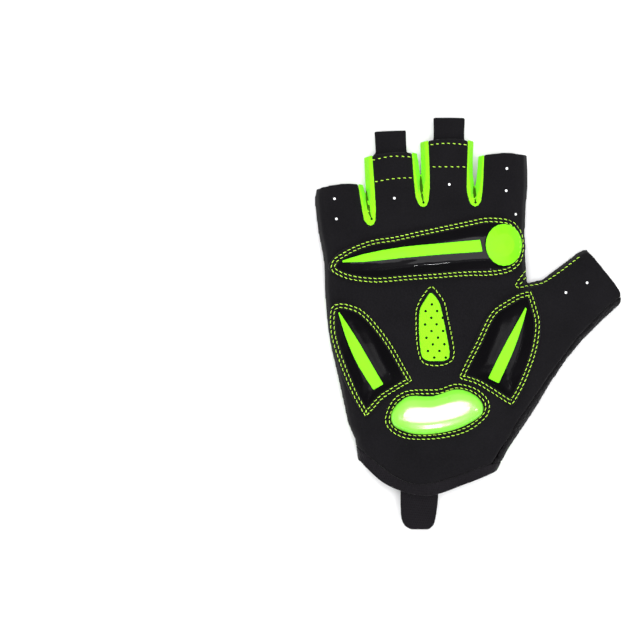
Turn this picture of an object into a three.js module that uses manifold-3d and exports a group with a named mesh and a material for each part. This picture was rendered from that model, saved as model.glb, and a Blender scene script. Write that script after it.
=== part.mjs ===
// Half-finger cycling glove for the right hand, lying with its palm up
// Millimetres: x runs towards the thumb, y towards the fingers, z upwards

import * as THREE from 'three';
import Module from 'manifold-3d';

const wasm = await Module();
wasm.setup();

// Named sizes in millimetres
const PALM_WIDTH = 97;
const PALM_LENGTH = 121.5;
const WALL = 1.8;
const CLEARANCE = 0.3;
const SEAM_HEIGHT = 8;
const EDGE_HALF = 1;
const SIDE_ROUND = 9;
const PALM_LOFT = 8;
const WRIST_RAISE = 3.6;
const TIP_BULGE = 1.2;
const FLANGE_WIDTH = 2.9;
const FLANGE_RISE = 1.3;
const PAD_RISE = 3.1;
const PAD_ROUND = 6.5;
const PATCH_RISE = 1.2;
const INLAY_DEPTH = 0.4;
const INLAY_PROUD = 0.35;
const TAB_THICKNESS = 1.6;
const STRAP_THICKNESS = 1.4;
const STRAP_PATCH_THICKNESS = 1.2;
const BINDING_THICKNESS = 1;
const BINDING_WIDTH = 3.2;
const SLIT_WIDTH = 2.6;

// Depth to which laid pieces are run into the body before the body is cut from them
const LAID_ROOT = 1.2;

// Lengths by which cutters run past what they cut
const OVERRUN = 3;
const FAR = 60;

// Shares of PALM_LENGTH between which the wrist lifts, and where the slit binding starts
const RAISE_START = 0.12;
const RAISE_END = 0.44;
const BINDING_START = 0.1;

// Shares of PALM_WIDTH by which the hollow keeps in from the wrist corner, and that a slab spans
const WRIST_CORNER = 0.08;
const SPAN = 2.2;

// Tables below give x as shares of PALM_WIDTH and y as shares of PALM_LENGTH

// Five lines from the wrist edge up to the row where the finger slots begin
// Each is given in three stretches: to the thumb crotch, to the finger crotches, to the slot ends
const RAILS = [
  {
    toThumb: {
      x: [-0.306, -0.32, -0.349, -0.382, -0.415, -0.444, -0.458, -0.467],
      y: [-0.001, 0.075, 0.125, 0.242, 0.359, 0.466, 0.565, 0.653],
    },
    toCrotch: { x: [-0.467, -0.468, -0.485, -0.497], y: [0.653, 0.734, 0.829, 0.868] },
    toSlot: { x: [-0.497, -0.511], y: [0.868, 0.956] },
  },
  {
    toThumb: { x: [-0.17, -0.19, -0.228], y: [-0.095, 0.25, 0.653] },
    toCrotch: { x: [-0.228, -0.24, -0.25], y: [0.653, 0.78, 0.897] },
    toSlot: { x: [-0.25, -0.269], y: [0.897, 1.007] },
  },
  {
    toThumb: { x: [0.02, 0.015, 0.01], y: [-0.137, 0.25, 0.653] },
    toCrotch: { x: [0.01, 0.006, 0.003], y: [0.653, 0.81, 0.97] },
    toSlot: { x: [0.003, -0.006], y: [0.97, 1.068] },
  },
  {
    toThumb: { x: [0.205, 0.22, 0.25], y: [-0.092, 0.25, 0.66] },
    toCrotch: { x: [0.25, 0.251, 0.251], y: [0.66, 0.81, 0.97] },
    toSlot: { x: [0.251, 0.253], y: [0.97, 1.032] },
  },
  {
    toThumb: {
      x: [0.357, 0.366, 0.385, 0.419, 0.452, 0.481, 0.504],
      y: [-0.044, 0.056, 0.171, 0.305, 0.458, 0.592, 0.674],
    },
    toCrotch: { x: [0.504, 0.499, 0.495, 0.493], y: [0.674, 0.741, 0.8, 0.88] },
    toSlot: { x: [0.493, 0.501], y: [0.88, 0.99] },
  },
];

// Finger edges from the slot row to the open ends
const FINGERS = [
  {
    name: 'little',
    left: { x: [-0.511, -0.514, -0.507], y: [0.956, 1.002, 1.036] },
    right: { x: [-0.269, -0.278, -0.286], y: [1.007, 1.03, 1.053] },
  },
  {
    name: 'ring',
    left: { x: [-0.269, -0.271, -0.278], y: [1.007, 1.046, 1.157] },
    right: { x: [-0.006, -0.0105, -0.0142, -0.0257], y: [1.068, 1.087, 1.117, 1.174] },
  },
  {
    name: 'middle',
    left: { x: [-0.006, 0, -0.003, -0.0065, -0.008], y: [1.068, 1.087, 1.117, 1.19, 1.216] },
    right: { x: [0.253, 0.247, 0.243, 0.243, 0.247], y: [1.032, 1.052, 1.098, 1.158, 1.22] },
  },
  {
    name: 'index',
    left: { x: [0.253, 0.259, 0.266, 0.272], y: [1.032, 1.052, 1.098, 1.162] },
    right: { x: [0.501, 0.507, 0.507, 0.504], y: [0.99, 1.051, 1.105, 1.166] },
  },
];

// Thumb edges and open end
const THUMB = {
  lower: {
    x: [0.357, 0.373, 0.438, 0.5, 0.563, 0.655, 0.773, 0.878, 0.927, 0.951],
    y: [-0.044, -0.006, 0.069, 0.146, 0.224, 0.345, 0.463, 0.545, 0.577, 0.599],
  },
  upper: {
    x: [0.504, 0.539, 0.574, 0.595, 0.626, 0.696, 0.768, 0.79],
    y: [0.674, 0.68, 0.685, 0.694, 0.715, 0.757, 0.799, 0.805],
  },
  end: { x: [0.951, 0.958, 0.936, 0.869, 0.79], y: [0.599, 0.622, 0.657, 0.726, 0.805] },
};

// Row and column steps of the body
const STEPS_TO_THUMB = [0, 0.04, 0.12, 0.22, 0.33, 0.44, 0.55, 0.66, 0.77, 0.88, 0.96, 1];
const STEPS_TO_CROTCH = [0.25, 0.5, 0.75, 1];
const STEPS_TO_SLOT = [0.5, 1];
const STEPS_TO_TIP = [0.33, 0.67, 1];
const STEPS_ACROSS = [0, 0.08, 0.26, 0.5, 0.74, 0.92, 1];
const STEPS_ALONG_THUMB = [0, 0.12, 0.25, 0.38, 0.5, 0.63, 0.75, 0.88, 1];
const HOLLOW_STEPS_TO_THUMB = [0, 0.12, 0.32, 0.55, 0.78, 0.92, 1];
const HOLLOW_STEPS_TO_CROTCH = [0.5, 1];
const HOLLOW_STEPS_TO_SLOT = [0.5, 1];
const HOLLOW_STEPS_TO_TIP = [0.5, 1];
const HOLLOW_STEPS_ACROSS = [0, 0.25, 0.75, 1];
const HOLLOW_STEPS_ALONG_THUMB = [0, 0.22, 0.46, 0.7, 1];

// Soft swells of the palm side, rise in millimetres
const SWELLS = [
  { x: 0.0, y: 0.8, wide: 0.42, long: 0.12, rise: 1.6 },
  { x: 0.44, y: 0.42, wide: 0.16, long: 0.24, rise: 2.6 },
  { x: -0.3, y: 0.38, wide: 0.15, long: 0.2, rise: 1.8 },
  { x: 0.05, y: 0.16, wide: 0.25, long: 0.12, rise: 1.2 },
  { x: 0.78, y: 0.62, wide: 0.1, long: 0.1, rise: 0.8 },
];

// Dents and folds of the palm side, heading in degrees from the x axis, depth in millimetres
const FOLDS = [
  { x: 0.02, y: 0.47, heading: 80, long: 0.2, wide: 0.07, depth: 1.3 },
  { x: -0.05, y: 0.655, heading: 4, long: 0.3, wide: 0.03, depth: 1.2 },
  { x: 0.47, y: 0.69, heading: 45, long: 0.06, wide: 0.035, depth: 1.4 },
  { x: 0.6, y: 0.66, heading: 30, long: 0.12, wide: 0.04, depth: 0.8 },
  { x: 0.3, y: 0.12, heading: 50, long: 0.1, wide: 0.04, depth: 0.9 },
  { x: -0.22, y: 0.1, heading: -55, long: 0.12, wide: 0.04, depth: 0.8 },
  { x: 0.62, y: 0.36, heading: 62, long: 0.16, wide: 0.035, depth: 0.9 },
  { x: -0.4, y: 0.9, heading: 10, long: 0.08, wide: 0.03, depth: 0.7 },
  { x: 0.12, y: 0.96, heading: -4, long: 0.3, wide: 0.025, depth: 0.6 },
];

// Seam lines, each with its own piece on the left of its run
const HEM_SEAM = {
  x: [0.45, 0.36, 0.292, 0.236, 0.154, 0.072, 0.006, -0.044, -0.094, -0.148, -0.228, -0.31, -0.37],
  y: [0.005, -0.013, -0.027, -0.044, -0.068, -0.087, -0.096, -0.095, -0.083, -0.06, -0.01, 0.045, 0.09],
};
const THUMB_PALM_SEAM = {
  x: [1.06, 0.911, 0.85, 0.8, 0.743, 0.62, 0.5, 0.457, 0.409, 0.33, 0.27],
  y: [0.685, 0.6, 0.558, 0.512, 0.466, 0.332, 0.194, 0.148, 0.075, -0.02, -0.1],
};
const THUMB_BACK_SEAM = {
  x: [0.53, 0.51, 0.513, 0.509, 0.5, 0.475, 0.47],
  y: [0.76, 0.62, 0.431, 0.299, 0.2, 0.13, 0.05],
};
const GUSSETS = [
  {
    name: 'gusset_little_ring',
    x: [
      -0.309, -0.306, -0.297, -0.289, -0.279, -0.264, -0.25,
      -0.235, -0.227, -0.2245, -0.23, -0.241, -0.247,
    ],
    y: [1.3, 1.05, 1, 0.959, 0.917, 0.9015, 0.896, 0.9015, 0.915, 0.959, 1.035, 1.154, 1.3],
  },
  {
    name: 'gusset_ring_middle',
    x: [
      -0.055, -0.049, -0.0415, -0.0355, -0.032, -0.02, -0.008,
      0.005, 0.019, 0.028, 0.034, 0.033, 0.028, 0.026,
    ],
    y: [1.3, 1.173, 1.09, 1.035, 1.006, 0.982, 0.971, 0.9685, 0.973, 0.992, 1.04, 1.12, 1.21, 1.3],
  },
  {
    name: 'gusset_middle_index',
    x: [0.223, 0.22, 0.216, 0.2135, 0.217, 0.225, 0.234, 0.251, 0.268, 0.28, 0.287, 0.292, 0.295, 0.3],
    y: [1.3, 1.2155, 1.12, 1.042, 1.0175, 0.991, 0.9775, 0.9695, 0.975, 0.991, 1.025, 1.08, 1.157, 1.3],
  },
];
const SLIT = { x: [0.27, 0.33, 0.395, 0.438, 0.446], y: [-0.2, 0.0, 0.1, 0.17, 0.235] };

// Pads and patches as pairs of facing edges
const KNUCKLE_PAD = {
  lowX: [-0.45, -0.435, -0.4, -0.33, -0.22, -0.06, 0.1, 0.26, 0.38, 0.45, 0.485, 0.495],
  lowY: [0.728, 0.716, 0.703, 0.688, 0.676, 0.686, 0.695, 0.702, 0.708, 0.73, 0.775, 0.805],
  highX: [-0.45, -0.435, -0.4, -0.33, -0.22, -0.06, 0.1, 0.26, 0.38, 0.45, 0.485, 0.495],
  highY: [0.748, 0.765, 0.795, 0.82, 0.848, 0.872, 0.895, 0.922, 0.926, 0.898, 0.85, 0.825],
};
const OUTER_PAD = {
  lowX: [-0.277, -0.297, -0.338, -0.362, -0.377, -0.408, -0.437, -0.447, -0.438, -0.412],
  lowY: [0.165, 0.19, 0.24, 0.28, 0.306, 0.37, 0.46, 0.535, 0.58, 0.602],
  highX: [-0.268, -0.238, -0.18, -0.106, -0.056, -0.098, -0.162, -0.24, -0.305, -0.385],
  highY: [0.165, 0.19, 0.24, 0.28, 0.306, 0.37, 0.46, 0.535, 0.58, 0.602],
};
const THUMB_PAD = {
  lowX: [0.425, 0.352, 0.265, 0.172, 0.198, 0.226, 0.26, 0.293, 0.34, 0.396, 0.466, 0.505],
  lowY: [0.205, 0.25, 0.287, 0.309, 0.36, 0.41, 0.47, 0.53, 0.575, 0.61, 0.64, 0.649],
  highX: [0.435, 0.467, 0.487, 0.498, 0.524, 0.545, 0.563, 0.566, 0.557, 0.543, 0.528, 0.522],
  highY: [0.205, 0.25, 0.287, 0.309, 0.36, 0.41, 0.47, 0.53, 0.575, 0.61, 0.64, 0.649],
};
const HEEL_PAD = {
  lowX: [-0.15, -0.136, -0.092, -0.052, 0, 0.06, 0.126, 0.171, 0.214, 0.259, 0.281, 0.289],
  lowY: [0.15, 0.128, 0.111, 0.101, 0.098, 0.101, 0.11, 0.121, 0.136, 0.157, 0.172, 0.187],
  highX: [-0.15, -0.136, -0.092, -0.052, 0, 0.06, 0.126, 0.171, 0.214, 0.259, 0.281, 0.289],
  highY: [0.175, 0.198, 0.233, 0.2445, 0.242, 0.2435, 0.2635, 0.269, 0.262, 0.242, 0.222, 0.205],
};
const CENTRE_PATCH = {
  lowX: [0.035, 0.008, -0.004, -0.014, -0.016, -0.01, 0.004, 0.022, 0.034],
  lowY: [0.378, 0.385, 0.4, 0.46, 0.54, 0.58, 0.6, 0.622, 0.637],
  highX: [0.095, 0.122, 0.129, 0.119, 0.099, 0.088, 0.08, 0.063, 0.044],
  highY: [0.378, 0.385, 0.4, 0.46, 0.54, 0.58, 0.6, 0.622, 0.637],
};
const KNUCKLE_BAR = {
  lowX: [-0.384, -0.283, -0.1, 0.083, 0.284],
  lowY: [0.7555, 0.757, 0.772, 0.785, 0.796],
  highX: [-0.384, -0.283, -0.1, 0.083, 0.273],
  highY: [0.7605, 0.785, 0.812, 0.826, 0.84],
};
const OUTER_STRIPE = {
  lowX: [-0.404, -0.364, -0.313, -0.236],
  lowY: [0.565, 0.462, 0.368, 0.269],
  highX: [-0.398, -0.32, -0.254, -0.19],
  highY: [0.562, 0.467, 0.377, 0.29],
};
const THUMB_STRIPE = {
  lowX: [0.491, 0.402, 0.355, 0.314],
  lowY: [0.582, 0.455, 0.382, 0.313],
  highX: [0.495, 0.481, 0.438, 0.362],
  highY: [0.577, 0.535, 0.432, 0.294],
};
const KNUCKLE_DISC = { x: 0.389, y: 0.8216, halfWide: 0.088, halfLong: 0.0796 };
const STRAP = {
  lowX: [-0.246, -0.232, -0.205, -0.165, -0.12, -0.085, 0.018, 0.15, 0.25, 0.33],
  lowY: [-0.022, -0.05, -0.07, -0.082, -0.075, -0.072, -0.1, -0.094, -0.066, -0.034],
  highX: [-0.246, -0.232, -0.205, -0.165, -0.12, -0.085, 0.018, 0.15, 0.29, 0.43],
  highY: [-0.004, 0.022, 0.046, 0.064, 0.06, 0.053, 0.067, 0.077, 0.085, 0.088],
};
const STRAP_PATCH = {
  lowX: [-0.219, -0.205, -0.176, -0.116, -0.079, 0.01, 0.15, 0.235, 0.3],
  lowY: [-0.02, -0.045, -0.059, -0.048, -0.05, -0.082, -0.075, -0.05, -0.024],
  highX: [-0.219, -0.205, -0.176, -0.116, -0.079, 0.01, 0.15, 0.28, 0.375],
  highY: [-0.004, 0.022, 0.041, 0.022, 0.018, 0.044, 0.052, 0.058, 0.062],
};

// Flat tabs from their hidden root to their free end
const TABS = [
  {
    name: 'pull_tab_ring',
    lowX: [-0.24, -0.243, -0.246, -0.239, -0.225, -0.2235, -0.229],
    lowY: [1.11, 1.15, 1.156, 1.163, 1.173, 1.186, 1.256],
    highX: [-0.056, -0.056, -0.056, -0.06, -0.073, -0.077, -0.08],
    highY: [1.11, 1.15, 1.165, 1.17, 1.176, 1.189, 1.261],
  },
  {
    name: 'pull_tab_middle',
    lowX: [0.032, 0.03, 0.03, 0.036, 0.052, 0.055, 0.054],
    lowY: [1.16, 1.2, 1.212, 1.217, 1.223, 1.234, 1.309],
    highX: [0.216, 0.218, 0.218, 0.215, 0.202, 0.2, 0.204],
    highY: [1.16, 1.2, 1.214, 1.219, 1.225, 1.236, 1.309],
  },
];
const WRIST_TAB = {
  lowX: [-0.104, -0.104, -0.102, -0.096, -0.083, -0.055],
  lowY: [-0.08, -0.13, -0.212, -0.235, -0.254, -0.267],
  highX: [0.073, 0.075, 0.0716, 0.062, 0.0524, 0.03],
  highY: [-0.08, -0.13, -0.175, -0.225, -0.251, -0.267],
};

const COLOURS = {
  suede: { color: 0x201f21, roughness: 0.85, metalness: 0 },
  knit: { color: 0x241a26, roughness: 0.9, metalness: 0 },
  towelling: { color: 0x1d1b1e, roughness: 1, metalness: 0 },
  lime_cloth: { color: 0x9bf514, roughness: 0.7, metalness: 0 },
  black_gel: { color: 0x0c0c0d, roughness: 0.15, metalness: 0 },
  lime_gel: { color: 0xa8ff3c, roughness: 0.2, metalness: 0 },
  binding: { color: 0x19171a, roughness: 0.9, metalness: 0 },
  strap_rubber: { color: 0x2a272b, roughness: 0.5, metalness: 0 },
};

// Points and curves from table rows
const place = (x, y) => [x * PALM_WIDTH, y * PALM_LENGTH];

function tablePoints(table) {
  return table.x.map((x, row) => place(x, table.y[row]));
}

function mix(a, b, share) {
  return [a[0] + (b[0] - a[0]) * share, a[1] + (b[1] - a[1]) * share];
}

function apart(a, b) {
  return Math.hypot(a[0] - b[0], a[1] - b[1]);
}

function curveThrough(points) {
  return new THREE.CatmullRomCurve3(points.map(([x, y]) => new THREE.Vector3(x, y, 0)));
}

function along(curve, share) {
  const point = curve.getPointAt(share);
  return [point.x, point.y];
}

function sampled(curve, count) {
  return Array.from({ length: count + 1 }, (_, step) => along(curve, step / count));
}

// Plan meshes are flat points and triangles, later given heights
function joinPlans(grids) {
  const plan = { points: [], faces: [] };
  const known = new Map();
  const indexOf = ([x, y]) => {
    const key = `${Math.round(x * 1000)},${Math.round(y * 1000)}`;
    if (!known.has(key)) {
      known.set(key, plan.points.length);
      plan.points.push([x, y]);
    }
    return known.get(key);
  };
  for (const grid of grids) {
    for (let row = 0; row + 1 < grid.length; row += 1) {
      for (let column = 0; column + 1 < grid[row].length; column += 1) {
        const a = indexOf(grid[row][column]);
        const b = indexOf(grid[row][column + 1]);
        const c = indexOf(grid[row + 1][column + 1]);
        const d = indexOf(grid[row + 1][column]);
        addFace(plan, a, b, c);
        addFace(plan, a, c, d);
      }
    }
  }
  return plan;
}

function turn(a, b, c) {
  return (b[0] - a[0]) * (c[1] - a[1]) - (b[1] - a[1]) * (c[0] - a[0]);
}

function addFace(plan, a, b, c) {
  if (a === b || b === c || a === c) {
    return;
  }
  const area = turn(plan.points[a], plan.points[b], plan.points[c]);
  plan.faces.push(area > 0 ? [a, b, c] : [a, c, b]);
}

function polygonPlan(points) {
  const contour = points.map(([x, y]) => new THREE.Vector2(x, y));
  const plan = { points, faces: [] };
  for (const [a, b, c] of THREE.ShapeUtils.triangulateShape(contour, [])) {
    addFace(plan, a, b, c);
  }
  return plan;
}

// A closed solid between a top and a bottom height over a plan
function solidBetween(plan, topAt, bottomAt) {
  const count = plan.points.length;
  const vertices = [];
  for (const heightAt of [topAt, bottomAt]) {
    for (const [x, y] of plan.points) {
      vertices.push(x, y, heightAt(x, y));
    }
  }
  const edges = new Set();
  for (const [a, b, c] of plan.faces) {
    edges.add(`${a},${b}`);
    edges.add(`${b},${c}`);
    edges.add(`${c},${a}`);
  }
  const triangles = [];
  for (const [a, b, c] of plan.faces) {
    triangles.push(a, b, c);
    triangles.push(count + a, count + c, count + b);
    for (const [from, to] of [[a, b], [b, c], [c, a]]) {
      if (!edges.has(`${to},${from}`)) {
        triangles.push(to, from, count + from);
        triangles.push(to, count + from, count + to);
      }
    }
  }
  return new wasm.Manifold(new wasm.Mesh({
    numProp: 3,
    vertProperties: new Float32Array(vertices),
    triVerts: new Uint32Array(triangles),
  }));
}

function prism(points, low, high) {
  return solidBetween(polygonPlan(points), () => high, () => low);
}

// Body plan: the palm between the five rails, four fingers and the thumb
const railCurves = RAILS.map((rail) => ({
  toThumb: curveThrough(tablePoints(rail.toThumb)),
  toCrotch: curveThrough(tablePoints(rail.toCrotch)),
  toSlot: curveThrough(tablePoints(rail.toSlot)),
}));
const fingerCurves = FINGERS.map((finger) => ({
  left: curveThrough(tablePoints(finger.left)),
  right: curveThrough(tablePoints(finger.right)),
}));
const thumbCurves = {
  lower: curveThrough(tablePoints(THUMB.lower)),
  upper: curveThrough(tablePoints(THUMB.upper)),
  end: curveThrough(tablePoints(THUMB.end)),
};

function palmRow(stretch, share) {
  return railCurves.map((rail) => along(rail[stretch], share));
}

// Points along one palm row, between rail number block and the next rail
function acrossPalm(rowPoints, block, steps) {
  const curve = curveThrough(rowPoints);
  return steps.map((share) => {
    const point = curve.getPoint((block + share) / (rowPoints.length - 1));
    return [point.x, point.y];
  });
}

function acrossFinger(index, share, steps) {
  const left = along(fingerCurves[index].left, share);
  const right = along(fingerCurves[index].right, share);
  return steps.map((step) => {
    const point = mix(left, right, step);
    point[1] += TIP_BULGE * share * 4 * step * (1 - step);
    return point;
  });
}

// Thumb patch blended from its four edges, across from the wrist side to the crotch side
function thumbPoint(across, out) {
  const base = along(railCurves[4].toThumb, across);
  const end = along(thumbCurves.end, across);
  const lower = along(thumbCurves.lower, out);
  const upper = along(thumbCurves.upper, out);
  const wristCorner = along(thumbCurves.lower, 0);
  const crotchCorner = along(thumbCurves.upper, 0);
  const lowEnd = along(thumbCurves.lower, 1);
  const highEnd = along(thumbCurves.upper, 1);
  const blend = (axis) => (1 - out) * base[axis] + out * end[axis]
    + (1 - across) * lower[axis] + across * upper[axis]
    - (1 - across) * ((1 - out) * wristCorner[axis] + out * lowEnd[axis])
    - across * ((1 - out) * crotchCorner[axis] + out * highEnd[axis]);
  return [blend(0), blend(1)];
}

function bodyPlan() {
  const rows = [];
  STEPS_TO_THUMB.forEach((share) => rows.push(palmRow('toThumb', share)));
  STEPS_TO_CROTCH.forEach((share) => rows.push(palmRow('toCrotch', share)));
  STEPS_TO_SLOT.forEach((share) => rows.push(palmRow('toSlot', share)));
  const grids = [];
  for (let block = 0; block < FINGERS.length; block += 1) {
    const grid = rows.map((row) => acrossPalm(row, block, STEPS_ACROSS));
    grids.push(grid);
    const tipRows = STEPS_TO_TIP.map((share) => acrossFinger(block, share, STEPS_ACROSS));
    grids.push([grid[grid.length - 1], ...tipRows]);
  }
  grids.push(STEPS_TO_THUMB.map((across) => STEPS_ALONG_THUMB.map((out) => thumbPoint(across, out))));
  return joinPlans(grids);
}

// Edges where the two sides of the glove meet, and the grooves that fade out below the slots
const closedEdges = [
  sampled(railCurves[0].toThumb, 16),
  sampled(railCurves[0].toCrotch, 6),
  sampled(railCurves[0].toSlot, 3),
  sampled(railCurves[4].toCrotch, 6),
  sampled(railCurves[4].toSlot, 3),
  sampled(thumbCurves.lower, 20),
  sampled(thumbCurves.upper, 12),
  ...fingerCurves.flatMap((finger) => [sampled(finger.left, 6), sampled(finger.right, 6)]),
];
const grooves = railCurves.slice(1, -1).map((rail) => sampled(rail.toSlot, 6));

function nearestOnLine([x, y], line) {
  let best = { distance: Infinity, share: 0 };
  for (let step = 0; step + 1 < line.length; step += 1) {
    const [ax, ay] = line[step];
    const [bx, by] = line[step + 1];
    const run = (bx - ax) ** 2 + (by - ay) ** 2;
    const raw = ((x - ax) * (bx - ax) + (y - ay) * (by - ay)) / run;
    const share = Math.min(1, Math.max(0, raw));
    const distance = Math.hypot(x - ax - share * (bx - ax), y - ay - share * (by - ay));
    if (distance < best.distance) {
      best = { distance, share: (step + share) / (line.length - 1) };
    }
  }
  return best;
}

function edgeDistance(x, y) {
  let distance = Math.min(...closedEdges.map((line) => nearestOnLine([x, y], line).distance));
  for (const line of grooves) {
    const near = nearestOnLine([x, y], line);
    distance = Math.min(distance, near.distance + (1 - near.share) * SIDE_ROUND);
  }
  return distance;
}

function quarterRound(share) {
  const inside = Math.min(1, Math.max(0, share));
  return Math.sqrt(1 - (1 - inside) ** 2);
}

function smoothShare(from, to, value) {
  const share = Math.min(1, Math.max(0, (value - from) / (to - from)));
  return share * share * (3 - 2 * share);
}

// Heights of the palm side above the side seam and of the back below it
function palmLoft(x, y) {
  let loft = PALM_LOFT;
  for (const swell of SWELLS) {
    const [middleX, middleY] = place(swell.x, swell.y);
    const [wide, long] = place(swell.wide, swell.long);
    loft += swell.rise * Math.exp(-(((x - middleX) / wide) ** 2) - ((y - middleY) / long) ** 2);
  }
  for (const fold of FOLDS) {
    const [middleX, middleY] = place(fold.x, fold.y);
    const heading = THREE.MathUtils.degToRad(fold.heading);
    const run = (x - middleX) * Math.cos(heading) + (y - middleY) * Math.sin(heading);
    const aside = (y - middleY) * Math.cos(heading) - (x - middleX) * Math.sin(heading);
    const fade = (run / (fold.long * PALM_WIDTH)) ** 2 + (aside / (fold.wide * PALM_LENGTH)) ** 2;
    loft -= fold.depth * Math.exp(-fade);
  }
  return loft;
}

function backLoft(x, y) {
  const raise = WRIST_RAISE * (1 - smoothShare(RAISE_START * PALM_LENGTH, RAISE_END * PALM_LENGTH, y));
  return SEAM_HEIGHT - raise;
}

function palmTop(x, y) {
  const rounded = quarterRound(edgeDistance(x, y) / SIDE_ROUND);
  return SEAM_HEIGHT + EDGE_HALF + (palmLoft(x, y) - EDGE_HALF) * rounded;
}

function backBottom(x, y) {
  const rounded = quarterRound(edgeDistance(x, y) / SIDE_ROUND);
  return SEAM_HEIGHT - EDGE_HALF - (backLoft(x, y) - EDGE_HALF) * rounded;
}

// Hollow inside the walls: the same shape, one wall further in and run out past the openings
function hollowFill(loft, x, y) {
  const share = (edgeDistance(x, y) - WALL) / (SIDE_ROUND - WALL);
  const thin = EDGE_HALF / 2;
  return thin + (loft - WALL - thin) * quarterRound(share);
}

function hollowTop(x, y) {
  return SEAM_HEIGHT + hollowFill(palmLoft(x, y), x, y);
}

function hollowBottom(x, y) {
  return SEAM_HEIGHT - hollowFill(backLoft(x, y), x, y);
}

// One row with its ends drawn in by the given amounts
function drawnIn(points, leftIn, rightIn) {
  const first = points[0];
  const last = points[points.length - 1];
  const width = apart(first, last);
  return points.map((point) => {
    const share = apart(first, point) / width;
    const moved = leftIn * (1 - share) - rightIn * share;
    const part = moved / width;
    return [point[0] + (last[0] - first[0]) * part, point[1] + (last[1] - first[1]) * part];
  });
}

function hollowPlan() {
  const grids = [];
  const rail4 = HOLLOW_STEPS_TO_THUMB.map(() => null);
  for (let block = 0; block < FINGERS.length; block += 1) {
    const leftIn = block === 0 ? WALL : 0;
    const shared = [];
    HOLLOW_STEPS_TO_THUMB.forEach((share, row) => {
      const edgeIn = row === 0 ? WRIST_CORNER * PALM_WIDTH : WALL;
      const rightIn = block === 3 && (row === 0 || share === 1) ? edgeIn : 0;
      const across = acrossPalm(palmRow('toThumb', share), block, HOLLOW_STEPS_ACROSS);
      const points = drawnIn(across, leftIn, rightIn);
      const pushed = points.map(([x, y]) => [x, row === 0 ? y - OVERRUN : y]);
      shared.push(pushed);
      if (block === 3) {
        rail4[row] = pushed[pushed.length - 1];
      }
    });
    HOLLOW_STEPS_TO_CROTCH.forEach((share) => {
      const rightIn = block === 3 ? WALL : 0;
      const across = acrossPalm(palmRow('toCrotch', share), block, HOLLOW_STEPS_ACROSS);
      shared.push(drawnIn(across, leftIn, rightIn));
    });
    grids.push(shared);
    const split = [shared[shared.length - 1]];
    HOLLOW_STEPS_TO_SLOT.forEach((share) => {
      split.push(drawnIn(acrossPalm(palmRow('toSlot', share), block, HOLLOW_STEPS_ACROSS), WALL, WALL));
    });
    HOLLOW_STEPS_TO_TIP.forEach((share) => {
      const points = drawnIn(acrossFinger(block, share, HOLLOW_STEPS_ACROSS), WALL, WALL);
      split.push(points.map(([x, y]) => [x, share === 1 ? y + OVERRUN : y]));
    });
    grids.push(split);
  }
  const thumbHeading = Math.atan2(THUMB.upper.y[4] - THUMB.upper.y[2], THUMB.upper.x[4] - THUMB.upper.x[2]);
  const thumbGrid = HOLLOW_STEPS_ALONG_THUMB.map((out) => {
    if (out === 0) {
      return rail4;
    }
    const points = HOLLOW_STEPS_TO_THUMB.map((across) => thumbPoint(across, out));
    const run = out === 1 ? OVERRUN : 0;
    return drawnIn(points, WALL, WALL).map(([x, y]) => [
      x + run * Math.cos(thumbHeading),
      y + run * Math.sin(thumbHeading),
    ]);
  });
  grids.push(thumbGrid);
  return joinPlans(grids);
}

// Zones on the left of a seam line, grown to its right by a clearance
function shiftedRight(points, distance) {
  return points.map((point, index) => {
    const before = points[Math.max(0, index - 1)];
    const after = points[Math.min(points.length - 1, index + 1)];
    const run = apart(before, after);
    return [
      point[0] + (after[1] - before[1]) / run * distance,
      point[1] - (after[0] - before[0]) / run * distance,
    ];
  });
}

// Everything beyond a line across the palm, between two heights
function slab(startY, low, high) {
  const corners = [place(-SPAN, startY), place(SPAN, startY), place(SPAN, SPAN), place(-SPAN, SPAN)];
  return prism(corners, low, high);
}

function zone(table, corners, grow, low, high) {
  const line = shiftedRight(tablePoints(table), grow);
  return prism([...line, ...corners.map(([x, y]) => place(x, y))], low, high);
}

const HEM_CORNERS = [[-0.6, -0.4], [0.6, -0.4]];
const THUMB_PALM_CORNERS = [[0.27, -0.3], [1.3, -0.3]];
const THUMB_BACK_CORNERS = [[0.47, -0.02], [0.8, -0.02], [1.3, 0.5], [1.3, 1.0], [0.8, 1.0]];

function hemZone(grow) {
  return zone(HEM_SEAM, HEM_CORNERS, grow, -FAR, FAR);
}

function thumbPalmZone(grow, low) {
  return zone(THUMB_PALM_SEAM, THUMB_PALM_CORNERS, grow, low, FAR);
}

function thumbBackZone(grow, high) {
  return zone(THUMB_BACK_SEAM, THUMB_BACK_CORNERS, grow, -FAR, high);
}

function gussetZone(gusset, grow) {
  return zone(gusset, [], grow, -FAR, FAR);
}

function slitZone(halfWidth, reach) {
  const line = sampled(curveThrough(tablePoints(SLIT)), 12);
  const end = line[line.length - 1];
  const tip = [end[0], end[1] + reach];
  const left = shiftedRight(line, -halfWidth);
  const right = shiftedRight(line, halfWidth).reverse();
  return [...left, tip, ...right];
}

const body = solidBetween(bodyPlan(), palmTop, backBottom);
const grownBody = solidBetween(
  bodyPlan(),
  (x, y) => palmTop(x, y) + CLEARANCE,
  (x, y) => backBottom(x, y) - CLEARANCE,
);
const hollow = solidBetween(hollowPlan(), hollowTop, hollowBottom);
const grownShell = grownBody.subtract(solidBetween(
  hollowPlan(),
  (x, y) => hollowTop(x, y) - CLEARANCE,
  (x, y) => hollowBottom(x, y) + CLEARANCE,
));
const slitHole = prism(slitZone(SLIT_WIDTH / 2, SLIT_WIDTH / 2), -FAR, SEAM_HEIGHT - EDGE_HALF);
const shell = body.subtract(hollow).subtract(slitHole);
const aboveSeam = slab(-SPAN, SEAM_HEIGHT + CLEARANCE / 2, FAR);
const belowSeam = slab(-SPAN, -FAR, SEAM_HEIGHT - CLEARANCE / 2);

function gussetPieces() {
  return GUSSETS.map((gusset) => ({ name: gusset.name, solid: shell.intersect(gussetZone(gusset, 0)) }));
}

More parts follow.
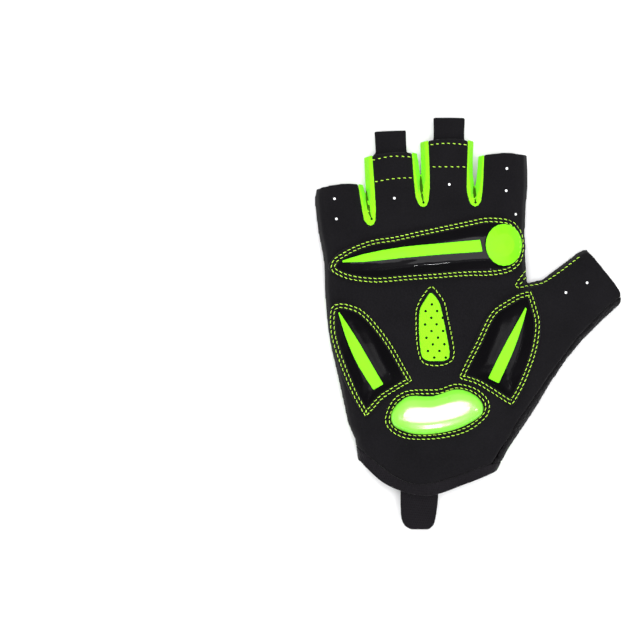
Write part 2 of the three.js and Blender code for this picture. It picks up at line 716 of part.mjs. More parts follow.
function withoutGussets(solid) {
  return GUSSETS.reduce((rest, gusset) => rest.subtract(gussetZone(gusset, CLEARANCE)), solid);
}

function palmPanel() {
  const upper = withoutGussets(shell.intersect(aboveSeam)).subtract(hemZone(CLEARANCE));
  return upper.subtract(thumbPalmZone(CLEARANCE, -FAR));
}

function backPanel() {
  const lower = withoutGussets(shell.intersect(belowSeam)).subtract(hemZone(CLEARANCE));
  return lower.subtract(thumbBackZone(CLEARANCE, FAR));
}

function thumbBack() {
  const under = thumbBackZone(0, SEAM_HEIGHT - CLEARANCE / 2);
  const over = thumbPalmZone(0, SEAM_HEIGHT + CLEARANCE / 2);
  const bridge = thumbBackZone(0, FAR).intersect(thumbPalmZone(0, -FAR));
  return shell.intersect(under.add(over).add(bridge)).subtract(hemZone(CLEARANCE));
}

function wristHem() {
  return shell.intersect(hemZone(0));
}

// Pads: a plan between two facing edges, laid on the palm
function facingPlan(table, steps, across) {
  const low = curveThrough(tablePoints({ x: table.lowX, y: table.lowY }));
  const high = curveThrough(tablePoints({ x: table.highX, y: table.highY }));
  const rows = [];
  for (let step = 0; step <= steps; step += 1) {
    const from = low.getPoint(step / steps);
    const to = high.getPoint(step / steps);
    rows.push(across.map((share) => mix([from.x, from.y], [to.x, to.y], share)));
  }
  return joinPlans([rows]);
}

function facingOutline(table, steps) {
  const low = curveThrough(tablePoints({ x: table.lowX, y: table.lowY }));
  const high = curveThrough(tablePoints({ x: table.highX, y: table.highY }));
  const outline = [];
  for (let step = 0; step <= steps; step += 1) {
    const point = low.getPoint(step / steps);
    outline.push([point.x, point.y]);
  }
  for (let step = steps; step >= 0; step -= 1) {
    const point = high.getPoint(step / steps);
    outline.push([point.x, point.y]);
  }
  return outline;
}

function discOutline(disc, count) {
  const [middleX, middleY] = place(disc.x, disc.y);
  const [wide, long] = place(disc.halfWide, disc.halfLong);
  return Array.from({ length: count }, (_, step) => {
    const angle = step / count * Math.PI * 2;
    return [middleX + wide * Math.cos(angle), middleY + long * Math.sin(angle)];
  });
}

// The same plan with its rim moved outwards
function grownPlan(plan, grow) {
  const edges = new Set(plan.faces.flatMap(([a, b, c]) => [`${a},${b}`, `${b},${c}`, `${c},${a}`]));
  const normals = new Map();
  for (const edge of edges) {
    const [from, to] = edge.split(',').map(Number);
    if (!edges.has(`${to},${from}`)) {
      const [a, b] = [plan.points[from], plan.points[to]];
      const normal = [(b[1] - a[1]) / apart(a, b), (a[0] - b[0]) / apart(a, b)];
      [from, to].forEach((index) => normals.set(index, [...(normals.get(index) ?? []), normal]));
    }
  }
  const points = plan.points.map(([x, y], index) => {
    if (!normals.has(index)) {
      return [x, y];
    }
    const [first, second] = normals.get(index);
    const sum = [first[0] + second[0], first[1] + second[1]];
    const reach = grow * 2 / Math.max(0.5, sum[0] ** 2 + sum[1] ** 2);
    return [x + sum[0] * reach, y + sum[1] * reach];
  });
  return { points, faces: plan.faces };
}

function gelTop(outline, flangeWidth, flangeRise, rise) {
  const ring = [...outline, outline[0]];
  return (x, y) => {
    const inside = nearestOnLine([x, y], ring).distance - flangeWidth;
    return palmTop(x, y) + CLEARANCE + flangeRise + rise * quarterRound(inside / PAD_ROUND);
  };
}

function laidOnPalm(plan, topAt) {
  return solidBetween(plan, topAt, (x, y) => palmTop(x, y) - LAID_ROOT).subtract(grownBody);
}

const ACROSS_PAD = [0, 0.11, 0.28, 0.5, 0.72, 0.89, 1];
const ACROSS_STRIPE = [0, 0.5, 1];

function sewnPad(table, steps, inlays) {
  const topAt = gelTop(facingOutline(table, steps), FLANGE_WIDTH, FLANGE_RISE, PAD_RISE);
  let pad = laidOnPalm(facingPlan(table, steps, ACROSS_PAD), topAt);
  const pieces = [];
  for (const inlay of inlays) {
    const pocket = solidBetween(
      grownPlan(inlay, CLEARANCE),
      () => FAR,
      (x, y) => topAt(x, y) - INLAY_DEPTH - CLEARANCE,
    );
    pad = pad.subtract(pocket);
    pieces.push(solidBetween(
      inlay,
      (x, y) => topAt(x, y) + INLAY_PROUD,
      (x, y) => topAt(x, y) - INLAY_DEPTH,
    ));
  }
  return { pad, pieces };
}

function stripeInlay(table, steps) {
  return facingPlan(table, steps, ACROSS_STRIPE);
}

function discInlay(disc) {
  const rim = discOutline(disc, 20);
  const middle = place(disc.x, disc.y);
  const spokes = [...rim, rim[0]].map((point) => [point, mix(middle, point, 0.55), middle]);
  return joinPlans([spokes]);
}

function plainPad(table, steps, flangeRise, rise) {
  const topAt = gelTop(facingOutline(table, steps), 0, flangeRise, rise);
  return laidOnPalm(facingPlan(table, steps, ACROSS_PAD), topAt);
}

// Tabs sewn inside the palm wall and running out of the opening
function tabPiece(table) {
  const plan = facingPlan(table, 2 * (table.lowX.length - 1), [0, 0.33, 0.67, 1]);
  const rootY = Math.abs(table.lowY[1]) * PALM_LENGTH * Math.sign(table.lowY[1]);
  const topAt = (x, y) => {
    const held = rootY > 0 ? Math.min(y, rootY) : Math.max(y, rootY);
    return hollowTop(x, held) - CLEARANCE;
  };
  return solidBetween(plan, topAt, (x, y) => topAt(x, y) - TAB_THICKNESS).subtract(grownShell);
}

// Strap, its moulded cover and the slit's binding, laid under the back
function laidUnderBack(plan, depth) {
  const bottomAt = (x, y) => backBottom(x, y) - CLEARANCE - depth;
  return solidBetween(plan, (x, y) => backBottom(x, y) + LAID_ROOT, bottomAt).subtract(grownBody);
}

function strapPieces() {
  const strapPlan = facingPlan(STRAP, 16, [0, 0.25, 0.5, 0.75, 1]);
  const strap = laidUnderBack(strapPlan, STRAP_THICKNESS);
  const grownStrap = solidBetween(
    strapPlan,
    (x, y) => backBottom(x, y) + LAID_ROOT,
    (x, y) => backBottom(x, y) - CLEARANCE - STRAP_THICKNESS - CLEARANCE,
  );
  const cover = solidBetween(
    facingPlan(STRAP_PATCH, 14, [0, 0.33, 0.67, 1]),
    (x, y) => backBottom(x, y),
    (x, y) => backBottom(x, y) - CLEARANCE - STRAP_THICKNESS - CLEARANCE - STRAP_PATCH_THICKNESS,
  ).subtract(grownStrap);
  return { strap, cover };
}

function slitBinding() {
  const exposed = slab(BINDING_START, -FAR, FAR);
  const outer = prism(slitZone(SLIT_WIDTH / 2 + BINDING_WIDTH, SLIT_WIDTH / 2 + BINDING_WIDTH), -FAR, FAR);
  const inner = prism(slitZone(SLIT_WIDTH / 2, SLIT_WIDTH / 2), -FAR, FAR);
  const lowered = solidBetween(
    bodyPlan(),
    (x, y) => backBottom(x, y) + LAID_ROOT,
    (x, y) => backBottom(x, y) - CLEARANCE - BINDING_THICKNESS,
  );
  return lowered.subtract(grownBody).intersect(outer).subtract(inner).intersect(exposed);
}

// Turn solids into named meshes
function toMesh(name, solid, colour) {
  const { numProp, vertProperties, triVerts } = solid.getMesh();
  const positions = new Float32Array(vertProperties.length / numProp * 3);
  for (let index = 0; index < positions.length / 3; index += 1) {
    positions.set(vertProperties.subarray(index * numProp, index * numProp + 3), index * 3);
  }
  const geometry = new THREE.BufferGeometry();
  geometry.setAttribute('position', new THREE.BufferAttribute(positions, 3));
  geometry.setIndex(new THREE.BufferAttribute(new Uint32Array(triVerts), 1));
  geometry.computeVertexNormals();
  const mesh = new THREE.Mesh(geometry, new THREE.MeshStandardMaterial(COLOURS[colour]));
  mesh.name = name;
  return mesh;
}

function glove() {
  const knuckle = sewnPad(KNUCKLE_PAD, 16, [stripeInlay(KNUCKLE_BAR, 8), discInlay(KNUCKLE_DISC)]);
  const outer = sewnPad(OUTER_PAD, 14, [stripeInlay(OUTER_STRIPE, 7)]);
  const thumb = sewnPad(THUMB_PAD, 16, [stripeInlay(THUMB_STRIPE, 7)]);
  const { strap, cover } = strapPieces();
  const group = new THREE.Group();
  group.name = 'cycling_glove';
  group.add(toMesh('palm_panel', palmPanel(), 'suede'));
  group.add(toMesh('back_panel', backPanel(), 'knit'));
  group.add(toMesh('thumb_back', thumbBack(), 'towelling'));
  gussetPieces().forEach(({ name, solid }) => group.add(toMesh(name, solid, 'lime_cloth')));
  group.add(toMesh('wrist_hem', wristHem(), 'binding'));
  group.add(toMesh('knuckle_pad', knuckle.pad, 'black_gel'));
  group.add(toMesh('knuckle_bar', knuckle.pieces[0], 'lime_gel'));
  group.add(toMesh('knuckle_disc', knuckle.pieces[1], 'lime_gel'));
  group.add(toMesh('outer_pad', outer.pad, 'black_gel'));
  group.add(toMesh('outer_stripe', outer.pieces[0], 'lime_gel'));
  group.add(toMesh('thumb_pad', thumb.pad, 'black_gel'));
  group.add(toMesh('thumb_stripe', thumb.pieces[0], 'lime_gel'));
  group.add(toMesh('heel_pad', plainPad(HEEL_PAD, 16, FLANGE_RISE, PAD_RISE), 'lime_gel'));
  group.add(toMesh('centre_patch', plainPad(CENTRE_PATCH, 14, PATCH_RISE, 0), 'lime_cloth'));
  TABS.forEach((tab) => group.add(toMesh(tab.name, tabPiece(tab), 'suede')));
  group.add(toMesh('wrist_tab', tabPiece(WRIST_TAB), 'binding'));
  group.add(toMesh('strap', strap, 'strap_rubber'));
  group.add(toMesh('strap_patch', cover, 'strap_rubber'));
  group.add(toMesh('slit_binding', slitBinding(), 'binding'));
  const box = new THREE.Box3().setFromObject(group);
  const middle = box.getCenter(new THREE.Vector3());
  group.children.forEach((mesh) => mesh.geometry.translate(-middle.x, -middle.y, -box.min.z));
  return group;
}

export default glove();
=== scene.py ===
import math
import bpy
import bmesh
import numpy as np
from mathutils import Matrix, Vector, noise
from mathutils.bvhtree import BVHTree
from mathutils.kdtree import KDTree


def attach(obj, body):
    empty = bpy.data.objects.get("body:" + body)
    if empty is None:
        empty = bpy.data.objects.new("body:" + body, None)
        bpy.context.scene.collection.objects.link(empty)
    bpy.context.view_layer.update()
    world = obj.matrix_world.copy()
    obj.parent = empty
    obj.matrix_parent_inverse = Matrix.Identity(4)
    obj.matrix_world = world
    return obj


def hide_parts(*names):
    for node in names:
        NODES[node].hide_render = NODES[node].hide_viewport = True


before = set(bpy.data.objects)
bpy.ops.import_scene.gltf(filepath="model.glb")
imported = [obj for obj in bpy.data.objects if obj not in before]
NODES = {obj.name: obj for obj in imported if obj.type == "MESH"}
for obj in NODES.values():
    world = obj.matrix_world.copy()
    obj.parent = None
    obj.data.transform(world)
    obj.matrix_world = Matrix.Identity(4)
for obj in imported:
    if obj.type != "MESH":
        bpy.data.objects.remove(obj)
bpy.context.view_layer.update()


# Sizes in metres

MM = 0.001
PALM_WIDTH = 97 * MM
PALM_LENGTH = 121.5 * MM
WRIST_AT = (21.41 * MM, 63.30 * MM)   # from the wrist's corner of the palm to the middle of the glove
REST_LEVEL = -0.12 * MM               # as low as the cloth reaches
FLOOR_LEVEL = -0.5 * MM
PALM_SIDE_FROM = 8.6 * MM             # the height above which a strip's fold faces the palm side

# Places in the palm view and in the back view, in their pixels

FRAME_WIDE = 640
FRAME_MIDDLE = (320, 320)
WRIST_PIXEL = (422.66, 459.68)
SCALE = 0.465 * MM
BACK_ORIGIN = (62.72, -130.91)        # millimetres
BACK_SCALE = 0.4                      # millimetres a pixel


def spot(px, py):
    """A point of the palm view."""
    return ((px - WRIST_PIXEL[0]) * SCALE - WRIST_AT[0], (WRIST_PIXEL[1] - py) * SCALE - WRIST_AT[1])


def spots(points):
    return [spot(px, py) for px, py in points]


def back_spot(px, py):
    """A point of the back view, mirrored on to the underside."""
    return ((BACK_ORIGIN[0] - BACK_SCALE * px) * MM, (BACK_ORIGIN[1] + BACK_SCALE * py) * MM)


def share_spot(sx, sy):
    """A point given as shares of the palm's width and length."""
    return (PALM_WIDTH * sx - WRIST_AT[0], PALM_LENGTH * sy - WRIST_AT[1])


def in_millimetres(points):
    return [(x * MM, y * MM) for x, y in points]


def smooth_line(points, closed, step):
    """Catmull-Rom through the points, cut into equal steps."""
    count = len(points)
    fine = []
    spans = count if closed else count - 1
    for index in range(spans):
        if closed:
            p0, p1, p2, p3 = (np.array(points[(index + k) % count], float) for k in (-1, 0, 1, 2))
        else:
            p1, p2 = np.array(points[index], float), np.array(points[index + 1], float)
            p0 = np.array(points[index - 1], float) if index else 2 * p1 - p2
            p3 = np.array(points[index + 2], float) if index + 2 < count else 2 * p2 - p1
        for k in range(12):
            t = k / 12
            fine.append(0.5 * (2 * p1 + (p2 - p0) * t + (2 * p0 - 5 * p1 + 4 * p2 - p3) * t * t
                               + (3 * p1 - p0 - 3 * p2 + p3) * t ** 3))
    fine.append(np.array(points[0 if closed else -1], float))
    fine = np.array(fine)
    lengths = np.concatenate([[0], np.cumsum(np.linalg.norm(np.diff(fine, axis=0), axis=1))])
    number = max(2, int(round(lengths[-1] / step)))
    at = np.linspace(0, lengths[-1], number + 1)
    return np.stack([np.interp(at, lengths, fine[:, k]) for k in (0, 1)], 1)


def evenly(line):
    """A closed line as points one millimetre apart."""
    return smooth_line(line, True, 1 * MM)[:-1]


def inset(points, distance):
    """A closed line moved inwards."""
    points = np.array(points, float)
    area = np.sum(points[:, 0] * np.roll(points[:, 1], -1) - np.roll(points[:, 0], -1) * points[:, 1])
    run = np.roll(points, -1, 0) - np.roll(points, 1, 0)
    run /= np.maximum(np.linalg.norm(run, axis=1, keepdims=True), 1e-9)
    normal = np.stack([-run[:, 1], run[:, 0]], 1) * np.sign(area)
    return points + normal * distance


def inside(points, outline):
    """Which points lie within a closed line."""
    x, y = points[:, 0], points[:, 1]
    found = np.zeros(len(points), bool)
    for (ax, ay), (bx, by) in zip(outline, np.roll(outline, -1, 0)):
        if ay == by:
            continue
        crosses = (ay > y) != (by > y)
        found ^= crosses & (x < (bx - ax) * (y - ay) / (by - ay) + ax)
    return found


# Shader parts

def new_material(name):
    material = bpy.data.materials.new(name)
    material.use_nodes = True
    shader = material.node_tree.nodes["Principled BSDF"]
    return material, material.node_tree, shader


def coordinates(tree):
    node = tree.nodes.new("ShaderNodeTexCoord")
    return node.outputs["Object"]


def separate(tree, coord):
    node = tree.nodes.new("ShaderNodeSeparateXYZ")
    tree.links.new(coord, node.inputs[0])
    return node.outputs


def noise_node(tree, coord, scale, detail=3.0, rough=0.55):
    node = tree.nodes.new("ShaderNodeTexNoise")
    node.inputs["Scale"].default_value = scale
    node.inputs["Detail"].default_value = detail
    node.inputs["Roughness"].default_value = rough
    tree.links.new(coord, node.inputs["Vector"])
    return node.outputs["Fac"]


def cells_node(tree, coord, scale):
    node = tree.nodes.new("ShaderNodeTexVoronoi")
    node.feature = "F1"
    node.inputs["Scale"].default_value = scale
    tree.links.new(coord, node.inputs["Vector"])
    return node.outputs["Distance"]


def math_node(tree, operation, a, b=None):
    node = tree.nodes.new("ShaderNodeMath")
    node.operation = operation
    for index, value in enumerate((a, b)):
        if value is None:
            continue
        if isinstance(value, (int, float)):
            node.inputs[index].default_value = value
        else:
            tree.links.new(value, node.inputs[index])
    return node.outputs[0]


def ramp_node(tree, value, stops):
    node = tree.nodes.new("ShaderNodeValToRGB")
    ramp = node.color_ramp
    while len(ramp.elements) < len(stops):
        ramp.elements.new(0.5)
    for element, (place, colour) in zip(ramp.elements, stops):
        element.position = place
        element.color = (*colour, 1)
    tree.links.new(value, node.inputs["Fac"])
    return node.outputs["Color"]


def bump_node(tree, height, strength, distance, before=None):
    node = tree.nodes.new("ShaderNodeBump")
    node.inputs["Strength"].default_value = strength
    node.inputs["Distance"].default_value = distance
    tree.links.new(height, node.inputs["Height"])
    if before is not None:
        tree.links.new(before, node.inputs["Normal"])
    return node.outputs["Normal"]


def shade(colour, factor):
    return tuple(min(1.0, c * factor) for c in colour)


def dimmed(tree, colour, amount, least):
    """The colour times an amount between the least value and one."""
    node = tree.nodes.new("ShaderNodeVectorMath")
    node.operation = "SCALE"
    tree.links.new(colour, node.inputs[0])
    share = math_node(tree, "ADD", math_node(tree, "MULTIPLY", amount, 1 - least), least)
    tree.links.new(share, node.inputs["Scale"])
    return node.outputs[0]


def dimple_height(tree, coord, pitch_x, pitch_y):
    """Rows of small cup-shaped dimples, every second row moved by half a pitch."""
    x, y, _ = separate(tree, coord)
    row = math_node(tree, "DIVIDE", y, pitch_y)
    odd = math_node(tree, "MULTIPLY", math_node(tree, "MODULO", math_node(tree, "FLOOR", row), 2), 0.5)
    column = math_node(tree, "ADD", math_node(tree, "DIVIDE", x, pitch_x), odd)
    across = math_node(tree, "SUBTRACT", math_node(tree, "FRACT", column), 0.5)
    up = math_node(tree, "SUBTRACT", math_node(tree, "FRACT", row), 0.5)
    across2 = math_node(tree, "MULTIPLY", math_node(tree, "MULTIPLY", across, across), 22)
    up2 = math_node(tree, "MULTIPLY", math_node(tree, "MULTIPLY", up, up), 7)
    far = math_node(tree, "SQRT", math_node(tree, "ADD", across2, up2))
    return math_node(tree, "MINIMUM", far, 1.0)


def rib_height(tree, coord, pitch):
    """Fine slanting ribs."""
    x, y, _ = separate(tree, coord)
    across = math_node(tree, "ADD", x, math_node(tree, "MULTIPLY", y, 0.4))
    turn = math_node(tree, "MULTIPLY", across, 2 * math.pi / pitch)
    return math_node(tree, "SINE", turn)


def cloth_material(name, colour, grain, depth, rough=0.85, sheen=0.05, spread=0.35, weave=None, gloss=0.08):
    """Cloth: mottled colour, fine grain, and either a weave or a nap as its relief, with painted shade in
    the dimples' cups and between the loops.
    """
    material, tree, shader = new_material(name)
    coord = coordinates(tree)
    fine = noise_node(tree, coord, grain, 4.0, 0.6)
    broad = noise_node(tree, coord, 55, 2.0)
    fine_share = math_node(tree, "MULTIPLY", fine, 0.65)
    broad_share = math_node(tree, "MULTIPLY", broad, 0.35)
    mixed = math_node(tree, "ADD", fine_share, broad_share)
    tint = ramp_node(tree, mixed, [(0.3, shade(colour, 1 - spread)), (0.7, shade(colour, 1 + spread))])
    shader.inputs["Roughness"].default_value = rough
    shader.inputs["Sheen Weight"].default_value = sheen
    shader.inputs["Sheen Roughness"].default_value = 0.5
    shader.inputs["Specular IOR Level"].default_value = gloss
    relief = bump_node(tree, fine, 0.6, depth)
    if weave == "dimples":
        dots = dimple_height(tree, coord, 2.8 * MM, 3.4 * MM)
        relief = bump_node(tree, dots, 0.8, 0.35 * MM, relief)
        # Painted shade: the colour is darkened in each dimple's cup
        tint = dimmed(tree, tint, dots, 0.35)
    elif weave == "loops":
        cells = cells_node(tree, coord, 950)
        relief = bump_node(tree, cells, 1.0, 0.6 * MM, relief)
        # Painted shade: the colour is darker away from each loop's middle, between the loops
        tint = dimmed(tree, tint, math_node(tree, "SUBTRACT", 1.0, cells), 0.5)
    elif weave == "ribs":
        ribs = rib_height(tree, coord, 0.9 * MM)
        relief = bump_node(tree, ribs, 0.5, 0.15 * MM, relief)
    tree.links.new(tint, shader.inputs["Base Color"])
    tree.links.new(relief, shader.inputs["Normal"])
    return material


def gel_material(name, colour, rough, coat=1.0, coat_rough=0.12, gloss=0.5):
    """Glossy moulded gel: a clear coat over a slightly uneven body colour."""
    material, tree, shader = new_material(name)
    coord = coordinates(tree)
    broad = noise_node(tree, coord, 90, 2.0)
    tint = ramp_node(tree, broad, [(0.3, shade(colour, 0.94)), (0.7, shade(colour, 1.06))])
    tree.links.new(tint, shader.inputs["Base Color"])
    uneven = ramp_node(tree, broad, [(0.3, (rough * 0.8,) * 3), (0.7, (rough * 1.3,) * 3)])
    tree.links.new(uneven, shader.inputs["Roughness"])
    shader.inputs["Coat Weight"].default_value = coat
    shader.inputs["Coat Roughness"].default_value = coat_rough
    shader.inputs["Specular IOR Level"].default_value = gloss
    relief = bump_node(tree, noise_node(tree, coord, 160, 1.0), 0.12, 0.3 * MM)
    tree.links.new(relief, shader.inputs["Normal"])
    return material


# Materials

# Suede of the palm, the fingers and their tabs
SUEDE = cloth_material("suede", (0.0060, 0.0056, 0.0067), 1500, 0.14 * MM, 0.92, gloss=0.06)

# Dimpled knit of the back
KNIT = cloth_material("knit", (0.0125, 0.0086, 0.0128), 1900, 0.1 * MM, 0.9, weave="dimples")

# Towelling of the thumb
TOWEL = cloth_material("towelling", (0.0078, 0.0072, 0.0084), 1400, 0.3 * MM, 1.0, 0.06, 0.5, "loops")

# Lime cloth between the fingers and of the patch
LIME_CLOTH = cloth_material("lime_cloth", (0.25, 0.82, 0.012), 1300, 0.08 * MM, 0.75, 0.05, 0.1, "ribs")

# Tape of the hem, the wrist tab and the slit
BINDING = cloth_material("binding", (0.0075, 0.0066, 0.0082), 1500, 0.12 * MM, 0.9, 0.05, 0.4, "ribs")

# Lime sewing thread
THREAD = cloth_material("thread", (0.47, 0.82, 0.07), 2600, 0.05 * MM, 0.6, 0.05, 0.2)

# Satin rubber of the strap
STRAP_COLOUR = (0.0125, 0.0112, 0.0132)
STRAP_BODY = cloth_material("strap_body", STRAP_COLOUR, 2200, 0.05 * MM, 0.55, 0.03, 0.2, gloss=0.18)

# Painted shade: a dark green strip laid along the fold between the fingers, where the fold lies in shade
PAINTED_FOLD_SHADE = cloth_material("fold", (0.035, 0.105, 0.004), 1300, 0.05 * MM, 0.9, 0.0, 0.3)

# Black gel of the knuckle pad
BLACK_GEL = gel_material("black_gel", (0.0035, 0.0032, 0.0040), 0.35, coat=0.07, coat_rough=0.03, gloss=0.02)

# Painted shade: a darker, duller copy of the knuckle pad's black gel, for the outer and thumb pads
SHADED_BLACK_GEL = gel_material("shaded_black_gel", (0.0030, 0.0027, 0.0034), 0.35, coat=0.025, coat_rough=0.16, gloss=0.02)

# Lime gel of the heel pad
LIME_GEL = gel_material("lime_gel", (0.235, 0.88, 0.05), 0.3, coat=1.0, coat_rough=0.2, gloss=0.85)

# Lime inlays in the black pads
INLAY = gel_material("lime_inlay", (0.205, 0.84, 0.012), 0.5, coat=0.0, gloss=0.08)

# Pale vent dots
VENT = cloth_material("vent", (0.85, 0.86, 0.87), 900, 0.02 * MM, 0.7, 0.0, 0.05)

# Holes and tacks
DARK_HOLE = cloth_material("dark_hole", (0.006, 0.010, 0.003), 900, 0.02 * MM, 0.9, 0.0, 0.2)

# Studio floor
FLOOR = cloth_material("floor", (0.86, 0.86, 0.865), 40, 0.01 * MM, 0.9, 0.0, 0.01)


# Making a soft piece from a solid

def mesh_of(obj):
    evaluated = obj.evaluated_get(bpy.context.evaluated_depsgraph_get())
    return bpy.data.meshes.new_from_object(evaluated)


def read_points(mesh, field="co"):
    """The places or normals of a mesh's points, one row each."""
    values = np.empty(len(mesh.vertices) * 3)
    mesh.vertices.foreach_get(field, values)
    return values.reshape(-1, 3)


def write_points(mesh, places):
    mesh.vertices.foreach_set("co", places.ravel())
    mesh.update()


def edge_pairs(mesh):
    pairs = np.empty(len(mesh.edges) * 2, int)
    mesh.edges.foreach_get("vertices", pairs)
    return pairs.reshape(-1, 2)


def bare_copy(node):
    """The solid's mesh with its doubled points joined."""
    mesh = NODES[node].data.copy()
    bm = bmesh.new()
    bm.from_mesh(mesh)
    bmesh.ops.remove_doubles(bm, verts=bm.verts, dist=1e-6)
    bm.to_mesh(mesh)
    bm.free()
    return mesh


def sharp_points(mesh, limit, step):
    """Points along the edges that turn more than the limit."""
    bm = bmesh.new()
    bm.from_mesh(mesh)
    bmesh.ops.remove_doubles(bm, verts=bm.verts, dist=1e-6)
    points = []
    for edge in bm.edges:
        if len(edge.link_faces) != 2 or edge.calc_face_angle(0) > limit:
            a, b = (v.co for v in edge.verts)
            count = max(1, int((b - a).length / step))
            points += [a.lerp(b, k / count) for k in range(count + 1)]
    bm.free()
    return points


def away_from(points, nodes):
    """The points that lie clear of the other solids."""
    walls = [
        BVHTree.FromPolygons([v.co for v in m.vertices], [p.vertices[:] for p in m.polygons])
        for m in map(bare_copy, nodes)
    ]
    return [p for p in points if all(wall.find_nearest(p)[3] > 0.9 * MM for wall in walls)]


def filled_with(mesh, nodes):
    """The mesh joined with other solids, each sunk a little and widened to close its gap."""
    bm = bmesh.new()
    bm.from_mesh(mesh)
    for node in nodes:
        plug = bare_copy(node)
        for vertex in plug.vertices:
            wider = Vector((vertex.normal.x, vertex.normal.y, 0)) * 0.35 * MM
            vertex.co += wider - Vector((0, 0, 0.6 * MM))
        bm.from_mesh(plug)
    bm.to_mesh(mesh)
    bm.free()


def remeshed(name, mesh, voxel):
    """An object with the mesh's form in even small faces."""
    obj = bpy.data.objects.new(name, mesh)
    bpy.context.scene.collection.objects.link(obj)
    modifier = obj.modifiers.new("fine", "REMESH")
    modifier.mode = "VOXEL"
    modifier.voxel_size = voxel
    fine = mesh_of(obj)
    obj.modifiers.clear()
    obj.data = fine
    return obj


def distances(places, points):
    """How far each place is from the nearest of the points."""
    tree = KDTree(len(points))
    for index, point in enumerate(points):
        tree.insert(point, index)
    tree.balance()
    return np.array([tree.find(p)[2] for p in places])


def relax(co, edges, weight, rounds):
    """Smoothing that keeps the volume: a shrinking and a growing step in turn."""
    a, b = edges[:, 0], edges[:, 1]
    degree = np.bincount(a, minlength=len(co)) + np.bincount(b, minlength=len(co))
    degree = np.maximum(degree, 1)[:, None]
    for _ in range(rounds):
        for factor in (0.55, -0.56):
            mean = np.stack([
                np.bincount(a, co[b, k], len(co)) + np.bincount(b, co[a, k], len(co))
                for k in range(3)], 1)
            co = co + (mean / degree - co) * factor * weight[:, None]
    return co


def dressed(node, name, material, voxel, rounds, limit=50, fade=2.2 * MM, least=0.06,
            grow=0.1 * MM, relief=None, plugs=()):
    """A fine, smooth copy of a solid that stands for it and keeps its sharp edges."""
    mesh = bare_copy(node)
    points = sharp_points(mesh, math.radians(limit), 0.5 * MM)
    if plugs:
        points = away_from(points, plugs)
        filled_with(mesh, plugs)
    obj = remeshed(name, mesh, voxel)
    fine = obj.data
    co = read_points(fine)
    edges = edge_pairs(fine)
    near = distances(co, points)
    weight = least + (1 - least) * np.clip(near / fade, 0, 1) ** 1.5
    co = relax(co, edges, np.ones(len(co)), 2)
    co = relax(co, edges, weight, rounds)
    write_points(fine, co)
    raised = np.full(len(co), float(grow))
    if relief:
        raised += np.array([relief(Vector(p)) for p in co]) * np.clip(near / fade, 0.2, 1)
    co = co + read_points(fine, "normal") * raised[:, None]
    co[:, 2] = np.maximum(co[:, 2], REST_LEVEL)
    write_points(fine, co)
    fine.materials.clear()
    fine.materials.append(material)
    fine.shade_smooth()
    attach(obj, "root")
    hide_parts(node)
    return obj


def nap(size, depth):
    """Small uneven relief over a cloth surface."""
    return lambda p: depth * (noise.noise(p / size) + 0.5 * noise.noise(p / size * 2.1))


def two_tone(obj, outline, material):
    """Faces outside a line get another material, as the sewn-down border of a pad."""
    mesh = obj.data
    mesh.materials.append(material)
    centres = np.empty(len(mesh.polygons) * 3)
    mesh.polygons.foreach_get("center", centres)
    out = ~inside(centres.reshape(-1, 3)[:, :2], np.array(outline))
    mesh.polygons.foreach_set("material_index", out.astype(np.int32))
    mesh.update()


# Outlines of the pads and of the patch, and the folds between the fingers, in the palm view

KNUCKLE_LINE = spots([
    (330.5, 269), (333.5, 259), (343.7, 252), (355.9, 245.6), (372.8, 239.8), (394.2, 236.6),
    (417, 231.6), (443, 226.2), (469, 220.8), (485.8, 217.6), (503.4, 218.4), (512.5, 221), (519, 227),
    (523, 235), (524, 245), (523.5, 254), (520, 264), (511, 271.5), (500.4, 274.6), (486.6, 276),
    (465.9, 276.4), (435.3, 278.6), (405.7, 280.6), (376.6, 282.8), (352.9, 280.5), (338, 275.5)])
OUTER_LINE = spots([
    (330.6, 309.4), (334, 304.6), (340.6, 303.2), (348.3, 304.3), (359, 308), (367.4, 314.4),
    (375, 322.4), (383.5, 332.8), (392.7, 346), (400.3, 359), (406.5, 370), (411.5, 378),
    (412.5, 380.6), (409.5, 382.8), (401.8, 387), (393.4, 392), (382.7, 399), (373.5, 409),
    (367, 415.8), (365.4, 416.6), (363.5, 414.6), (359.8, 408), (353.5, 396.8), (347.3, 383),
    (340.5, 365.6), (334.5, 348.6), (331, 335), (329.8, 322)])
THUMB_LINE = spots([
    (529.4, 291), (520, 293.4), (511.8, 297.5), (502.7, 303), (494, 309), (488, 317), (483.6, 325.6),
    (476, 342), (470, 353.6), (464, 365.4), (459.6, 375), (458.8, 378), (461, 379.6), (467.4, 381.2),
    (476.6, 384.4), (485.8, 389.6), (496.5, 396.4), (505.7, 402.4), (510.6, 404.8), (512.6, 404.4),
    (514.5, 401.5), (518.7, 394.5), (524.8, 382.4), (530.2, 368.7), (534, 358), (537.8, 343),
    (539.6, 328), (539, 317.7), (536.2, 307.2), (533, 296.5), (531.6, 292.4)])
HEEL_LINE = spots([
    (385.4, 419.5), (391, 403.4), (400.3, 394.2), (412, 390.4), (433, 390), (441.4, 389),
    (450.6, 385.4), (459.8, 384.3), (475, 388.6), (486, 397.6), (489.3, 406), (486, 416.6),
    (470, 429.6), (450, 436.2), (428, 439), (406, 438), (391, 430.5)])
PATCH_LINE = spots([
    (431.5, 286.6), (439, 294.4), (444.2, 302), (446.6, 311), (448.2, 320), (450.4, 330), (452.4, 340),
    (454, 352), (452, 360.5), (443, 365), (431, 365.4), (422.5, 362), (418.4, 352), (416.6, 338),
    (416, 322), (416.2, 311), (419, 302.6), (424, 294.4)])
PAD_LINES = (KNUCKLE_LINE, OUTER_LINE, THUMB_LINE)
CREASES = [
    spots([(366.6, 190), (367, 197), (367.9, 203), (369.4, 212.7), (371.6, 219)]),
    spots([(421.3, 174), (421.3, 181.2), (421.7, 189.7), (422.4, 196.9), (423.6, 202.5)]),
    spots([(475, 184), (475, 190.3), (475.2, 196.9), (475.7, 202.5)])]


# Palm, back and thumb

